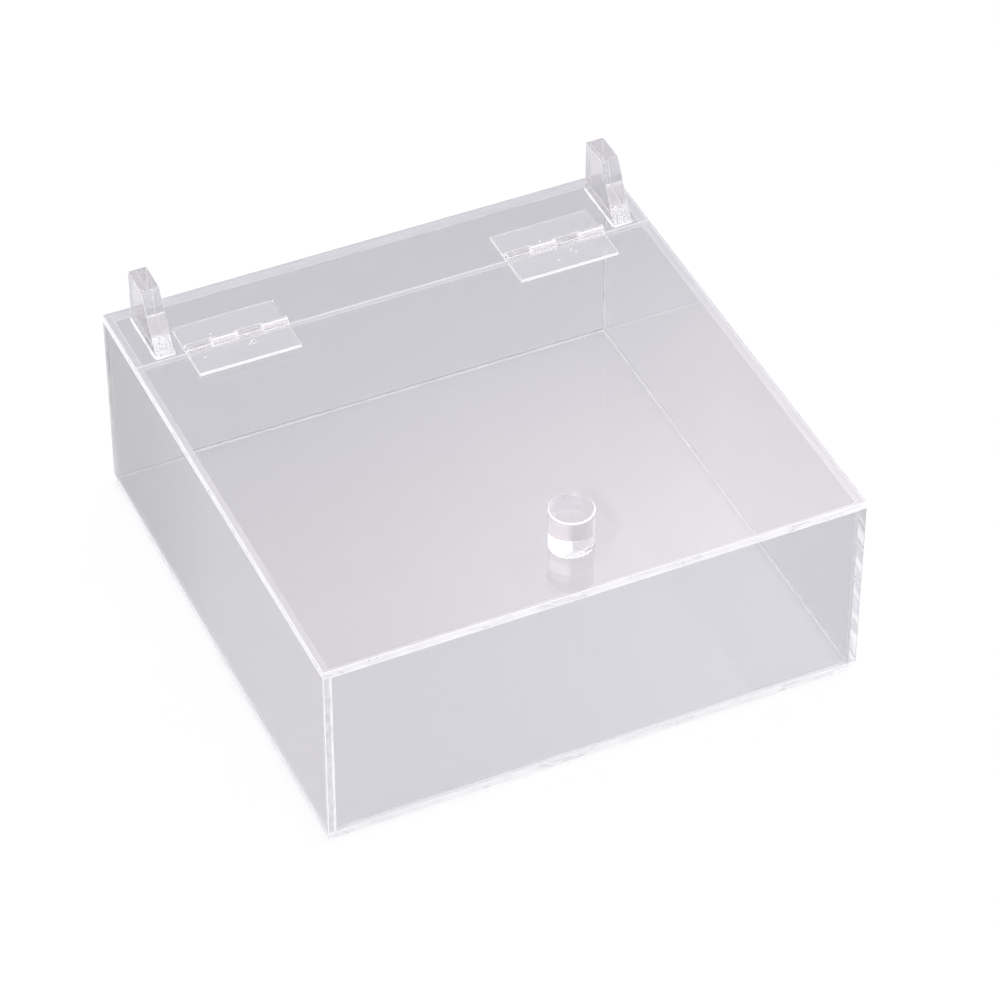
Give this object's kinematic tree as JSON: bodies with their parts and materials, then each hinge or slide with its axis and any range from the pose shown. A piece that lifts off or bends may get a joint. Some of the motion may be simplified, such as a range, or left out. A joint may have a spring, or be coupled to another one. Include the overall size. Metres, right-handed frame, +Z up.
{
  "type": "hinged acrylic box",
  "caption": "Shallow square clear acrylic box with a knobbed lid hinged to a fixed rear strip, where sloped blocks hold the opened lid.",
  "frame": {"origin": "centre of the footprint, on the underside of the floor panel", "axes": "+Z up, the knob's side of the box faces -Y, the hinge axis runs along X"},
  "size_m": [0.2, 0.2, 0.0995],
  "materials": {
    "clear_sheet": "clear cast acrylic sheet, glossy faces, sawn and scraped edges",
    "clear_block": "clear acrylic block and rod, polished",
    "clear_hinge": "clear moulded hinge plastic, glossy"
  },
  "bodies": {
    "box": {"floor_panel": "clear_sheet", "front_wall": "clear_sheet", "back_wall": "clear_sheet", "left_wall": "clear_sheet", "right_wall": "clear_sheet", "rear_strip": "clear_sheet", "left_lid_stop": "clear_block", "right_lid_stop": "clear_block", "left_hinge_strip_leaf": "clear_hinge", "left_hinge_pin": "clear_block", "right_hinge_strip_leaf": "clear_hinge", "right_hinge_pin": "clear_block"},
    "lid": {"lid_panel": "clear_sheet", "lid_knob": "clear_block", "left_hinge_lid_leaf": "clear_hinge", "right_hinge_lid_leaf": "clear_hinge"}
  },
  "joints": [
    {"name": "lid_hinge", "type": "hinge", "parent": "box", "child": "lid", "pos_m": [0, 0.06775, 0.08], "axis": [-1, 0, 0], "range_deg": [0, 129]}
  ]
}
